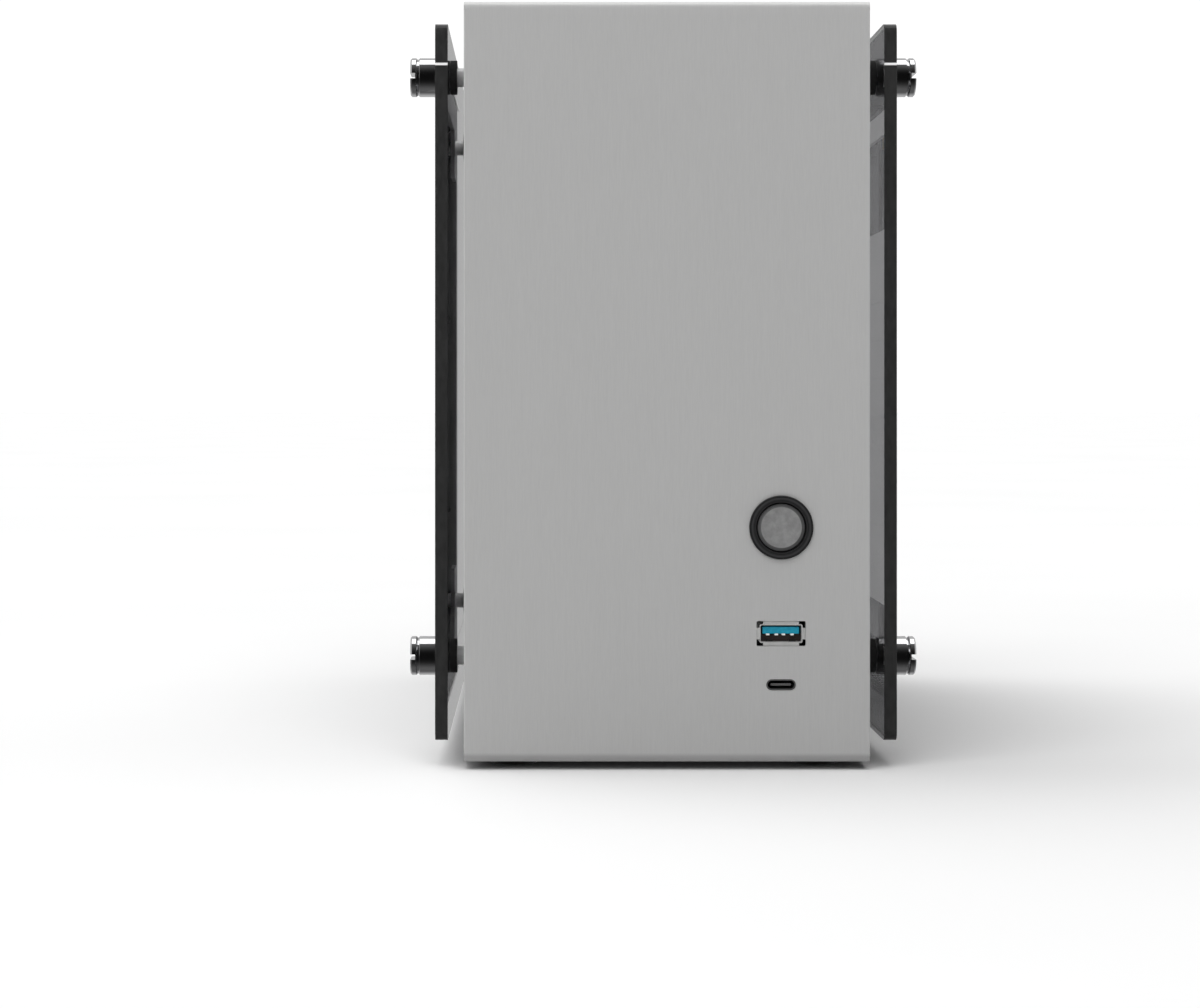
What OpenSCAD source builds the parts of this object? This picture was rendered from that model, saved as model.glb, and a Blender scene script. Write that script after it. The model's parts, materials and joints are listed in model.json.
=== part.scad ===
// Small desktop computer tower with two stand-off glass sides.
// Millimetres. The origin is on the floor under the centre of the case, +Z is up,
// the front panel faces -Y and +X is to the right of someone facing the front.

/* [Body] */
// Width of the aluminium shell
body_w = 127; // [127:1:140]
// Height of the aluminium shell, without the feet
body_h = 238; // [238:1:260]
// Depth of the aluminium shell
body_d = 320; // [320:1:360]
// Thickness of the bent aluminium sheet
sheet = 2; // [1.5:0.5:2.5]
// Outer radius of the bends along the top and bottom of the front
bend_r = 2.4; // [2.4:0.2:4]
// Chamfer along the shell's side edges
edge_chamfer = 0.35; // [0.2:0.05:0.8]
// Height of the rubber feet
foot_h = 2.5; // [2:0.5:6]
// Thickness of the inner steel frames
steel = 1.5; // [1:0.1:2]

/* [Glass sides] */
// Thickness of the glass
glass_t = 4; // [3:0.5:5]
// Gap between the shell and the glass
glass_gap = 5.2; // [4.5:0.1:8]
// Length of the glass
glass_l = 306; // [280:1:310]
// Height of the glass
glass_h = 226; // [210:1:230]
// Height of the glass's lower edge above the floor
glass_z = 8.4; // [5:0.1:10]
// Diameter of a thumbscrew's knob
knob_d = 12.5; // [10:0.5:16]
// Length of a thumbscrew's knob
knob_l = 8.7; // [6:0.1:12]
// Distance of the thumbscrews from the case's middle, front and back
screw_y = 128; // [115:1:135]
// Height of the lower thumbscrews
screw_z_low = 33.1; // [30:0.1:40]
// Height of the upper thumbscrews
screw_z_high = 220; // [214:0.5:224]

/* [Controls] */
// Distance of the controls to the right of the front's middle
control_x = 35.7; // [20:0.1:40]
// Height of the power button
button_z = 75.9; // [72:0.1:80]
// Height of the USB-A port
usb_a_z = 42.7; // [40:0.1:46]
// Height of the USB-C port
usb_c_z = 26.7; // [24:0.1:30]
// Diameter of the button's outer ring
bezel_d = 20; // [19:0.5:22]
// Diameter of the button's cap
cap_d = 14.7; // [12:0.1:15]
// Travel of the button
button_travel = 1.6; // [1:0.1:2]

/* [Inside] */
// Side of the square mainboard
board_w = 170; // [170:1:170]
// Height of the mainboard's lower edge
board_z = 46; // [46:1:48]
// Length of the graphics card
card_l = 178; // [170:1:178]
// Width of the power supply
psu_w = 63.5; // [60:0.5:63.5]
// Height of the power supply as it stands
psu_h = 125; // [120:1:125]
// Depth of the power supply
psu_d = 100; // [90:1:100]
// Turns of the button's spring
spring_turns = 4; // [3:1:6]

/* [Hidden] */
$fn = 48;

bezel_proud = 1.2;
front_y = (bezel_proud - body_d) / 2;
back_y = front_y + body_d;
top_z = foot_h + body_h;
floor_z = foot_h + sheet;
roof_z = top_z - sheet;
half_w = body_w / 2;
inner_y = front_y + sheet;
rear_recess = 5;
rear_in_y = back_y - rear_recess - 1.2;
rear_out_y = back_y - rear_recess;
frame_out_x = half_w - 0.5;
frame_in_x = frame_out_x - steel;
glass_in_x = half_w + glass_gap;
glass_out_x = glass_in_x + glass_t;
running = 0.06;
stud_r = 2;
spacer_t = 2.3;
screw_x = 58.8;
panel_screws_z = [70, 150, 230];

// power button, from the panel's face backwards
cap_proud = 0.8;
barrel_d = 17.6;
barrel_l = 18;
groove_d = 15.8;
cap_l = 6.8;
block_y = front_y + 12;
port_depth = 16;

// mainboard, standing on the tray with its parts towards -X
tray_x = 54;
board_back_x = tray_x - 6.5;
board_x = board_back_x - 1.6;
board_y1 = rear_in_y - 1.4;
board_y0 = board_y1 - board_w;
board_z1 = board_z + board_w;
io_w = 44.45;
io_h = 158.75;
io_z = board_z + 14.8;
io_x0 = board_back_x - io_w;
cpu_y = 73.6;
cpu_z = 154;
sink_z = 146;
sink_w = 90;
sink_x0 = -12;
sink_x1 = 14;
fan_t = 15;

// graphics card, lying under the mainboard with its fans down
card_z = board_z + 9;
card_y1 = rear_in_y - 1.2;
card_y0 = card_y1 - card_l;
card_x0 = -55;
card_x1 = 33.5;
card_mid_x = -12;
shroud_z0 = 17;
card_fan_d = 76;
card_fans_y = [card_y0 + 48, card_y0 + 132];

// power supply, standing behind the front
psu_x1 = frame_in_x - 1.3;
psu_x0 = psu_x1 - psu_w;
psu_y0 = front_y + 29.4;
psu_y1 = psu_y0 + psu_d;
psu_z = 47;
psu_mid_y = (psu_y0 + psu_y1) / 2;
psu_mid_z = psu_z + psu_h / 2;
rocker_x = 42;
rocker_z = psu_z + 86;
inlet_x = -35;
inlet_z = 208;
top_fan_y = 40;

// ---------------------------------------------------------------- helpers

// points of an arc round (cx, cy)
function arc(cx, cy, r, from, to, steps = 6) =
    [for (i = [0:steps]) let (a = from + (to - from) * i / steps) [cx + r * cos(a), cy + r * sin(a)]];

// outline of a rectangle with round corners, its centre at the origin
function round_outline(w, h, r) = concat(
    arc(w / 2 - r, h / 2 - r, r, 0, 90),
    arc(r - w / 2, h / 2 - r, r, 90, 180),
    arc(r - w / 2, r - h / 2, r, 180, 270),
    arc(w / 2 - r, r - h / 2, r, 270, 360));

module round_rect(w, h, r) {
    polygon(round_outline(w, h, r));
}

// extrudes a flat (x, z) shape towards +Y, from y over t
module along_y(y, t) {
    translate([0, y + t, 0]) rotate([90, 0, 0]) linear_extrude(t) children();
}

// extrudes a flat (y, z) shape towards +X, from x over t
module along_x(x, t) {
    translate([x, 0, 0]) rotate([90, 0, 90]) linear_extrude(t) children();
}

// extrudes a flat (x, y) shape upwards, from z over t
module along_z(z, t) {
    translate([0, 0, z]) linear_extrude(t) children();
}

// a box from its lowest corner to its highest
module span(a, b) {
    translate(a) cube(b - a);
}

// mirrors its children to the left side as well
module both_sides() {
    for (m = [0, 1]) mirror([m, 0, 0]) children();
}

// places children at the four thumbscrews of a side, as (y, z)
module at_screws() {
    for (y = [-screw_y, screw_y], z = [screw_z_low, screw_z_high]) translate([0, y, z]) children();
}

function unit(v) = v / norm(v);

// a Catmull-Rom curve through the points, n steps to each stretch
function curve(p, n) = let (q = concat([2 * p[0] - p[1]], p, [2 * p[len(p) - 1] - p[len(p) - 2]]))
    concat([for (k = [1:len(q) - 3], i = [0:n - 1]) let (t = i / n)
        0.5 * (2 * q[k] + t * (q[k + 1] - q[k - 1])
            + t * t * (2 * q[k - 1] - 5 * q[k] + 4 * q[k + 1] - q[k + 2])
            + t * t * t * (3 * q[k] - q[k - 1] - 3 * q[k + 1] + q[k + 2]))], [p[len(p) - 1]]);

// a round tube swept along a path, closed at both ends
module sweep(path, r, sides = 8) {
    last = len(path) - 1;
    rings = [for (k = [0:last])
        let (t = unit(path[min(k + 1, last)] - path[max(k - 1, 0)]),
            u = unit(cross(t, abs(t[0]) < 0.75 ? [1, 0, 0] : [0, 1, 0.3])),
            v = cross(t, u))
        for (i = [0:sides - 1]) path[k] + r * (cos(360 * i / sides) * u + sin(360 * i / sides) * v)];
    side_faces = [for (k = [0:last - 1], i = [0:sides - 1]) let (j = (i + 1) % sides)
        each [[k * sides + i, (k + 1) * sides + j, k * sides + j],
            [k * sides + i, (k + 1) * sides + i, (k + 1) * sides + j]]];
    start_face = [for (i = [0:sides - 1]) i];
    end_face = [for (i = [0:sides - 1]) last * sides + sides - 1 - i];
    polyhedron(rings, concat([start_face, end_face], side_faces));
}

// ---------------------------------------------------------------- case

// outline of the bent shell seen from the side, as (y, z)
module shell_outline() {
    in_r = bend_r - sheet;
    polygon(concat(
        [[back_y, foot_h]],
        arc(front_y + bend_r, foot_h + bend_r, bend_r, 270, 180),
        arc(front_y + bend_r, top_z - bend_r, bend_r, 180, 90),
        [[back_y, top_z], [back_y, roof_z]],
        arc(front_y + bend_r, top_z - bend_r, in_r, 90, 180, 2),
        arc(front_y + bend_r, foot_h + bend_r, in_r, 180, 270, 2),
        [[back_y, floor_z]]));
}

// a row of slots that lets air through a sheet, as a flat (x, y) shape
module vent_slots(width, y0, y1, pitch = 6.5, slot = 3.2) {
    for (y = [y0 + pitch / 2:pitch:y1 - slot], x = [-width / 4 - 1.5, width / 4 + 1.5])
        translate([x, y]) square([width / 2 - 3, slot], center = true);
}

// a diamond that takes a 45 degree chamfer off a corner at the origin, as a flat shape
module chamfer_cutter() {
    polygon([[edge_chamfer, 0], [0, edge_chamfer], [-edge_chamfer, 0], [0, -edge_chamfer]]);
}

module outer_shell() {
    // the chamfers stop just short of the bends
    stop = bend_r + 0.3;
    color("silver") difference() {
        along_x(-half_w, body_w) shell_outline();
        both_sides() {
            along_z(foot_h + stop, body_h - 2 * stop) translate([half_w, front_y]) chamfer_cutter();
            along_y(front_y + stop, body_d) translate([half_w, top_z]) chamfer_cutter();
        }
        at_button(front_y - 1) cylinder(d = barrel_d + 0.2, h = 5);
        along_y(front_y - 1, 5) translate([control_x, usb_a_z]) round_rect(15.4, 7.85, 0.5);
        along_y(front_y - 1, 5) translate([control_x, usb_c_z]) round_rect(9.3, 3.5, 1.74);
        along_z(roof_z - 1, sheet + 2) vent_slots(104, top_fan_y - 58, top_fan_y + 58);
        along_z(foot_h - 1, sheet + 2) vent_slots(96, card_y0 - 4, card_y1 - 22);
    }
}

module rear_panel() {
    color("dimgray") along_y(rear_in_y, 1.2) difference() {
        translate([-frame_in_x, floor_z]) square([2 * frame_in_x, roof_z - floor_z]);
        translate([io_x0, io_z]) square([io_w, io_h]);
        translate([-50, 21]) square([90, 36.5]);
        translate([inlet_x, inlet_z]) square([27, 20], center = true);
        for (row = [0:16], x = [-46, -29, -12]) translate([x, 82 + row * 6.5]) round_rect(14, 3.4, 1.6);
        for (x = [-screw_x, screw_x], z = panel_screws_z) translate([x, z]) circle(d = 3);
    }
}

// a side frame: a bordered plate whose window leaves a block in each corner for the standoffs
module side_frame_outline() {
    difference() {
        translate([(inner_y + rear_in_y) / 2, (floor_z + roof_z) / 2])
            round_rect(rear_in_y - inner_y, roof_z - floor_z, 1);
        translate([-115, 17]) square([230, 209]);
        translate([-142, 47]) square([284, 160]);
        for (y = [-screw_y, screw_y], z = [screw_z_low, screw_z_high]) translate([y, z]) circle(d = 6);
    }
}

module side_frame() {
    along_x(frame_in_x, steel) side_frame_outline();
    difference() {
        span([56, rear_in_y - steel, 62], [frame_in_x, rear_in_y, roof_z - 2]);
        for (z = panel_screws_z)
            translate([screw_x, rear_in_y - 4, z]) rotate([-90, 0, 0]) cylinder(d = 3, h = 6);
    }
}

module left_side_frame() {
    color("dimgray") mirror([1, 0, 0]) side_frame();
}

module right_side_frame() {
    color("dimgray") side_frame();
}

module motherboard_tray() {
    tray_y0 = board_y0 - 9;
    tray_top = 220;
    color("dimgray") {
        along_x(tray_x, 1.2) difference() {
            translate([tray_y0, 30]) square([rear_in_y - tray_y0, tray_top - 30]);
            translate([cpu_y, cpu_z]) round_rect(70, 76, 6);
            translate([10, 84]) round_rect(24, 40, 6);
            translate([88, 60]) round_rect(70, 24, 6);
        }
        for (z = [30, tray_top - 1.2])
            span([tray_x + 1.2, screw_y + 6, z], [frame_in_x, screw_y + 22, z + 1.2]);
    }
}

// two perforated sheets under the roof vent and over the floor vent
module dust_filters() {
    color("dimgray") {
        along_z(roof_z - 1.5, 1.5) filter_outline(108, top_fan_y - 60, top_fan_y + 60);
        along_z(floor_z, 1.5) filter_outline(100, card_y0 - 6, card_y1 - 18);
    }
}

module filter_outline(width, y0, y1) {
    difference() {
        translate([-width / 2, y0]) square([width, y1 - y0]);
        for (y = [y0 + 5:9:y1 - 8], x = [0:3])
            translate([-width / 2 + 4 + x * (width - 8) / 4 + 1, y]) square([(width - 8) / 4 - 2, 7]);
    }
}

module rubber_feet() {
    color("black") for (x = [-48, 48], y = [-138, 138]) translate([x, y, 0]) {
        cylinder(d1 = 14, d2 = 16, h = 1);
        translate([0, 0, 1]) cylinder(d = 16, h = foot_h - 1);
    }
}

module glass_standoffs() {
    color("silver") both_sides() at_screws() rotate([0, 90, 0]) difference() {
        translate([0, 0, 57.5]) cylinder(d = 6, h = glass_in_x - spacer_t - 57.5);
        translate([0, 0, 50]) cylinder(r = stud_r + running, h = 30);
    }
}

module glass_spacers() {
    color("black") both_sides() at_screws() rotate([0, 90, 0]) difference() {
        translate([0, 0, glass_in_x - spacer_t]) cylinder(d = 11, h = spacer_t - 0.1);
        translate([0, 0, 50]) cylinder(r = stud_r + running, h = 30);
    }
}

module glass_panel() {
    difference() {
        along_x(glass_in_x, glass_t) translate([0, glass_z + glass_h / 2]) round_rect(glass_l, glass_h, 3);
        at_screws() translate([glass_in_x - 1, 0, 0]) rotate([0, 90, 0])
            cylinder(r = stud_r + running, h = glass_t + 2);
    }
}

module left_glass() {
    color([0.1, 0.1, 0.1, 0.6]) mirror([1, 0, 0]) glass_panel();
}

module right_glass() {
    color([0.1, 0.1, 0.1, 0.6]) glass_panel();
}

// a thumbscrew turned in one piece, seen from the side: distance from the glass and radius
module thumbscrew(side, y, z) {
    r = knob_d / 2;
    start = 0.1;
    groove = knob_l - 2.4;
    color("white") translate([side * glass_out_x, y, z]) rotate([0, side * 90, 0]) {
        difference() {
            rotate_extrude() polygon([[0, start], [r - 0.4, start], [r, start + 0.4],
                [r, groove - 0.6], [r - 0.55, groove], [r, groove + 0.6],
                [r, knob_l - 0.5], [r - 0.5, knob_l], [0, knob_l]]);
            translate([0, 0, knob_l]) cube([1.7, knob_d + 2, 3.2], center = true);
        }
        translate([0, 0, -glass_out_x + 58.5]) cylinder(r = stud_r, h = glass_out_x - 58.5 + start + 1);
    }
}

module panel_screws() {
    color("dimgray") both_sides() for (z = panel_screws_z) translate([screw_x, 0, z]) {
        translate([0, rear_in_y - 3, 0]) rotate([-90, 0, 0]) cylinder(d = 3, h = 5);
        translate([0, rear_out_y, 0]) rotate([-90, 0, 0]) difference() {
            cylinder(d = 5, h = 1.8);
            translate([0, 0, 0.8]) cylinder(d = 2.6, h = 2, $fn = 6);
        }
    }
}

// ---------------------------------------------------------------- front controls

// places children on the button's axis, with local +Z running into the case
module at_button(y) {
    translate([control_x, y, button_z]) rotate([-90, 0, 0]) children();
}

module button_barrel() {
    color("dimgray") at_button(front_y) difference() {
        union() {
            rotate_extrude() polygon([[0, -bezel_proud], [bezel_d / 2 - 0.3, -bezel_proud],
                [bezel_d / 2, -bezel_proud + 0.3], [bezel_d / 2, 0], [0, 0]]);
            translate([0, 0, -0.5]) cylinder(d = barrel_d, h = barrel_l + 0.5);
        }
        translate([0, 0, -5]) cylinder(d = groove_d, h = 6.2);
        translate([0, 0, -5]) cylinder(d = cap_d + 2 * running, h = barrel_l + 10);
    }
}

module button_nut() {
    color("silver") at_button(inner_y) difference() {
        cylinder(d = 25, h = 3, $fn = 6);
        translate([0, 0, -1]) cylinder(d = barrel_d, h = 5);
    }
}

module button_contact_block() {
    color("black") at_button(block_y) {
        difference() {
            cylinder(d = cap_d + 2 * running, h = 10);
            translate([0, 0, -1]) cylinder(d = 5, h = button_travel + 3.4);
        }
        for (x = [-4, 0, 4]) translate([x - 0.4, -1.4, 10]) cube([0.8, 2.8, 1.8]);
    }
}

module button_spring() {
    length = block_y - (front_y - cap_proud + cap_l) - 0.2;
    wire = 0.8;
    steps = 14;
    coil = [for (i = [0:spring_turns * steps]) let (a = 360 * i / steps)
        [5 * cos(a), 5 * sin(a), wire / 2 + (length - wire) * i / (spring_turns * steps)]];
    color("silver") at_button(block_y - length - 0.1) sweep(coil, wire / 2, 6);
}

module power_button_cap() {
    r = cap_d / 2;
    color("gray") at_button(front_y - cap_proud) rotate_extrude() polygon([[0, 0], [r - 1, 0],
        [r, 0.7], [r, cap_l], [2, cap_l], [2, cap_l + 3.4], [0, cap_l + 3.4]]);
}

// the four flared lips round a USB-A mouth, as a flat (x, z) shape
module usb_a_lips() {
    for (m = [0, 1]) mirror([0, m]) translate([-5.6, 2.5]) square([11.2, 1.35]);
    for (m = [0, 1]) mirror([m, 0]) translate([6.3, -1.8]) square([1.35, 3.6]);
}

module usb_a_port() {
    color("silver") translate([control_x, 0, usb_a_z]) {
        along_y(front_y + 0.3, 0.3) difference() {
            usb_a_lips();
            round_rect(12.8, 5.2, 0.4);
        }
        along_y(front_y + 0.3, port_depth) difference() {
            round_rect(13.4, 5.8, 0.5);
            round_rect(12.8, 5.2, 0.4);
        }
        along_y(front_y + 0.3 + port_depth, 0.8) round_rect(13.4, 5.8, 0.5);
    }
}

module usb_c_port() {
    color("silver") translate([control_x, 0, usb_c_z]) {
        along_y(front_y + 0.2, port_depth) difference() {
            round_rect(9.1, 3.3, 1.64);
            round_rect(8.4, 2.6, 1.29);
        }
        along_y(front_y + 0.2 + port_depth, 0.9) round_rect(9.1, 3.3, 1.64);
    }
}

module usb_tongues() {
    color("teal") along_y(front_y + 1.6, port_depth - 1.3) translate([control_x, usb_a_z + 0.95])
        round_rect(11.4, 2.1, 0.2);
    color("gray") along_y(front_y + 1.4, port_depth - 1.2) translate([control_x, usb_c_z])
        round_rect(6.4, 0.7, 0.3);
}

module front_io_board() {
    board_y = front_y + port_depth + 1.1;
    color("darkgreen") {
        span([control_x - 11, board_y, 17], [control_x + 11, board_y + 1.6, 58]);
        for (z = [21, 54], x = [-8, 8]) translate([control_x + x, inner_y, z]) rotate([-90, 0, 0])
            cylinder(d = 4, h = board_y - inner_y);
    }
    color("black") {
        span([control_x - 8, board_y + 1.6, 22], [control_x + 8, board_y + 7, 32]);
        span([control_x - 6, board_y + 1.6, 38], [control_x + 6, board_y + 6, 46]);
    }
}

// ---------------------------------------------------------------- mainboard and what it carries

module motherboard() {
    color("darkgreen") along_x(board_x, 1.6) difference() {
        translate([board_y0, board_z]) square([board_w, board_w]);
        at_board_holes() circle(d = 3.9);
    }
}

// the board's four mounting holes, as flat (y, z) places
module at_board_holes() {
    for (y = [board_y0 + 4.9, board_y1 - 10.16], z = [board_z + 6.3, board_z1 - 6.3])
        translate([y, z]) children();
}

module board_standoffs() {
    color("gold") {
        along_x(board_back_x, tray_x - board_back_x) at_board_holes() circle(d = 6, $fn = 6);
        along_x(board_x, 1.6) at_board_holes() circle(d = 3);
        along_x(board_x - 2, 2) at_board_holes() circle(d = 5.6);
    }
}

module io_shield() {
    color("silver") along_y(rear_in_y - 1, 1) difference() {
        translate([io_x0 - 1, io_z - 1]) square([io_w + 2, io_h + 2]);
        io_port_outlines();
    }
}

// the rear ports: low edge above the shield's, height, and reach away from the board
io_ports = [[6, 14, 16], [26, 14, 16], [46, 15, 13], [68, 16, 29], [90, 16, 29], [112, 16, 16],
    [134, 10, 18]];

module io_port_outlines() {
    for (p = io_ports) translate([board_x - p[2] - 1.2, io_z + p[0]]) square([p[2] + 1.2, p[1]]);
}

module rear_io_ports() {
    wall = 1.4;
    color("silver") for (p = io_ports) let (x = board_x - p[2], low = io_z + p[0], high = low + p[1])
        difference() {
            span([x - 1.2, rear_in_y - 18, low], [board_x, rear_in_y + 0.6, high]);
            span([x, rear_in_y - 10, low + wall], [board_x - 2.4, rear_in_y + 2, high - wall]);
        }
}

module cpu_package() {
    color("silver") {
        along_x(board_x - 4.2, 4.2) translate([cpu_y, cpu_z]) round_rect(46, 52, 3);
        along_x(board_x - 7, 2.8) translate([cpu_y, cpu_z]) round_rect(30, 30, 1.5);
    }
}

module cpu_heatsink() {
    base_x = board_x - 7;
    pipe_r = 3;
    pipe_low_x = base_x - 5;
    pipe_high_x = 4;
    bend = (pipe_low_x - pipe_high_x) / 2;
    pipe_top = 184;
    color("silver") {
        along_x(base_x - 10, 10) translate([cpu_y, cpu_z]) round_rect(42, 42, 1);
        for (k = [0:15]) let (z = 105 + k * 5)
            span([sink_x0, cpu_y - sink_w / 2, z], [sink_x1, cpu_y + sink_w / 2, z + 1]);
    }
    color("peru") for (y = [-16.5, -5.5, 5.5, 16.5]) translate([0, cpu_y + y, 0]) {
        translate([pipe_low_x, 0, 130]) cylinder(r = pipe_r, h = pipe_top - 130);
        translate([pipe_high_x, 0, 103]) cylinder(r = pipe_r, h = pipe_top - 103);
        translate([pipe_high_x + bend, 0, pipe_top]) rotate([90, 0, 0])
            rotate_extrude(angle = 180) translate([bend, 0]) circle(r = pipe_r);
    }
}

// an axial fan's frame, local +Z running towards the side that the blades show on
module fan_frame(size, hub) {
    color("black") {
        difference() {
            linear_extrude(fan_t) round_rect(size, size, 5);
            translate([0, 0, -1]) cylinder(d = size - 4, h = fan_t + 2, $fn = 96);
            for (x = [-1, 1], y = [-1, 1]) translate([x, y] * (size / 2 - 6) * 0.96) translate([0, 0, -1])
                cylinder(d = 4.3, h = fan_t + 2);
        }
        difference() {
            union() {
                cylinder(d = hub, h = 3);
                translate([0, 0, 2]) cylinder(d = 8, h = fan_t - 6);
                for (a = [45:90:315]) rotate(a) translate([hub / 2 - 1, -2, 0])
                    cube([size / 2 * 1.04 - hub / 2, 4, 2.4]);
            }
            translate([0, 0, 1.4]) cylinder(r = 1.5 + running, h = fan_t);
        }
    }
}

// a point of a blade's edge: f runs from 0 at the hub to 1 at the tip, and side moves it across the blade
function blade_point(f, r0, r1, side) = let (r = r0 + (r1 - r0) * f, a = 24 * f * f)
    [r * cos(a) - side * sin(a), r * sin(a) + side * cos(a)];

// one swept blade between r0 and r1, which twists as it rises
module fan_blade(r0, r1, height, twist) {
    steps = 3;
    linear_extrude(height, twist = twist, slices = 4, segments = 2 * steps + 2) polygon(concat(
        [for (i = [0:steps]) blade_point(i / steps, r0, r1, 0)],
        [for (i = [steps:-1:0]) blade_point(i / steps, r0, r1, 1.3)]));
}

// a fan's rotor: a cup of radius r0 over the motor, its shaft, and blades out to r1
module fan_rotor(r0, r1, low, high, blades = 7) {
    color("black") {
        difference() {
            translate([0, 0, low]) cylinder(r = r0, h = high - low);
            translate([0, 0, low - 1]) cylinder(r = r0 - 1.5, h = high - low - 0.6);
        }
        translate([0, 0, 1.8]) cylinder(r = 1.5, h = high - 2.4);
        for (k = [1:blades]) rotate(k * 360 / blades) translate([0, 0, low + 0.5])
            fan_blade(r0 - 0.5, r1, high - low - 1, 216 / blades);
    }
}

module at_cpu_fan() {
    translate([sink_x0, cpu_y, sink_z]) rotate([0, -90, 0]) children();
}

module cpu_fan_frame() {
    at_cpu_fan() fan_frame(92, 36);
}

module cpu_fan_rotor() {
    at_cpu_fan() fan_rotor(18, 43, 3.6, fan_t - 0.8);
}

module memory_modules() {
    color("dimgray") for (y = [2, 11]) {
        span([board_x - 33, y - 0.6, 69], [board_x - 3, y + 0.6, 202]);
        difference() {
            span([board_x - 35, y - 3, 71], [board_x - 11, y + 3, 200]);
            for (k = [0:4]) span([board_x - 36, y - 4, 82 + k * 24], [board_x - 29, y + 4, 94 + k * 24]);
        }
    }
}

module board_slots() {
    color("black") {
        for (y = [2, 11]) difference() {
            span([board_x - 8, y - 3.2, 66], [board_x, y + 3.2, 205]);
            span([board_x - 9, y - 0.7, 68], [board_x - 2.9, y + 0.7, 203]);
        }
        difference() {
            span([board_x - 11, 22, card_z - 3.8], [board_x, 111, card_z + 3.8]);
            span([board_x - 12, 23.5, card_z - 0.9], [board_x - 2.8, 109.5, card_z + 0.9]);
        }
    }
}

module m2_drive() {
    color("darkgreen") span([board_x - 3.4, 24, 70], [board_x - 2.6, 104, 92]);
    color("black") {
        for (y = [30, 52, 76]) span([board_x - 4.8, y, 72], [board_x - 3.4, y + 18, 90]);
        span([board_x - 4.4, 104, 70], [board_x, 109, 92]);
        translate([board_x - 3, 22.5, 81]) rotate([0, 90, 0]) cylinder(d = 5, h = 3);
    }
}

// a finned block on the board, its grooves running along Z or Y
module grooved_block(a, b, grooves, depth, along_z) {
    half_cut = 1.2;
    across = along_z ? 1 : 2;
    difference() {
        span(a, b);
        for (k = [1:grooves]) let (middle = a[across] + (b[across] - a[across]) * k / (grooves + 1))
            if (along_z)
                span([a[0] - 1, middle - half_cut, a[2] - 1], [a[0] + depth, middle + half_cut, b[2] + 1]);
            else
                span([a[0] - 1, a[1] - 1, middle - half_cut], [a[0] + depth, b[1] + 1, middle + half_cut]);
    }
}

module board_heatsinks() {
    color("dimgray") {
        grooved_block([board_x - 24, 38, board_z1 - 11], [board_x, 112, board_z1 - 1], 9, 12, true);
        grooved_block([board_x - 24, 122, 126], [board_x, 131, 200], 9, 12, false);
        grooved_block([board_x - 7, 24, 98], [board_x, 46, 120], 3, 4, false);
    }
}

module board_connectors() {
    color("black") {
        span([board_x - 12, board_y0 + 2, 120], [board_x, board_y0 + 12, 172]);
        span([board_x - 12, 16, board_z1 - 11], [board_x, 34, board_z1 - 2]);
        span([board_x - 9, board_y0 + 2, 84], [board_x, board_y0 + 9, 106]);
        span([board_x - 8, board_y0 + 2, 60], [board_x, board_y0 + 8, 76]);
        for (z = [178, 194]) span([board_x - 8, board_y0 + 2, z], [board_x, board_y0 + 9, z + 12]);
        span([board_x - 8, 14, 52], [board_x, 20, 60]);
    }
    color("silver") for (y = [114:9:134])
        translate([board_x, y, 68]) rotate([0, -90, 0]) cylinder(d = 6, h = 8);
}

// ---------------------------------------------------------------- graphics card

module graphics_board() {
    color("darkgreen") {
        span([card_x0 + 1, card_y0 + 3, card_z - 0.8], [card_x1, card_y1 - 0.8, card_z + 0.8]);
        span([card_x1 - 1, 24, card_z - 0.8], [board_x - 3, 109, card_z + 0.8]);
    }
    color("silver") {
        span([-22, 40, card_z - 4], [14, 76, card_z - 0.8]);
        for (x = [-46, -26, -6]) span([x, card_y1 - 14, card_z - 6.8], [x + 16, card_y1 + 2, card_z - 0.8]);
    }
    color("black") span([-50, card_y0 + 3, card_z - 13], [-30, card_y0 + 15, card_z - 0.8]);
}

module graphics_heatsink() {
    y0 = card_y0 + 17;
    y1 = card_y1 - 18;
    fins = 26;
    color("silver") {
        span([-50, y0, card_z - 6], [29, y1, card_z - 4]);
        for (k = [0:fins - 1]) let (y = y0 + k * (y1 - y0 - 1) / (fins - 1))
            span([-52, y, 32], [30, y + 1, card_z - 5]);
    }
    color("peru") for (x = [-38, -18, 2, 20]) translate([x, y0, 43]) rotate([-90, 0, 0])
        cylinder(d = 6, h = y1 - y0);
}

module graphics_shroud() {
    color("black") {
        difference() {
            span([card_x0 - 2, card_y0, shroud_z0], [card_x1, card_y1 - 15, card_z - 3]);
            span([card_x0, card_y0 + 2, shroud_z0 + 2], [card_x1 - 2, card_y1 - 17, card_z + 5]);
            span([-51, card_y0 - 1, card_z - 14], [-29, card_y0 + 3, card_z]);
            for (y = card_fans_y)
                translate([card_mid_x, y, 0]) cylinder(d = card_fan_d + 3, h = 40, $fn = 96);
        }
        for (y = card_fans_y) translate([card_mid_x, y, 28.4]) difference() {
            union() {
                cylinder(d = 28, h = 3);
                translate([-44.5, -4, 0]) cube([89, 8, 2.4]);
            }
            translate([0, 0, -1]) cylinder(r = 1.5 + running, h = 3);
        }
    }
}

module graphics_backplate() {
    color("dimgray") {
        along_z(card_z + 1.8, 1.2) difference() {
            translate([card_x0 + 1, card_y0 + 3]) square([card_x1 - card_x0 - 2, card_l - 6]);
            for (k = [0:7]) translate([card_mid_x + 4, card_y0 + 24 + k * 9]) round_rect(54, 4, 1.9);
        }
        for (x = [-48, 30], y = [card_y0 + 10, card_y1 - 14])
            translate([x, y, card_z + 0.8]) cylinder(d = 5, h = 1);
    }
}

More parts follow.
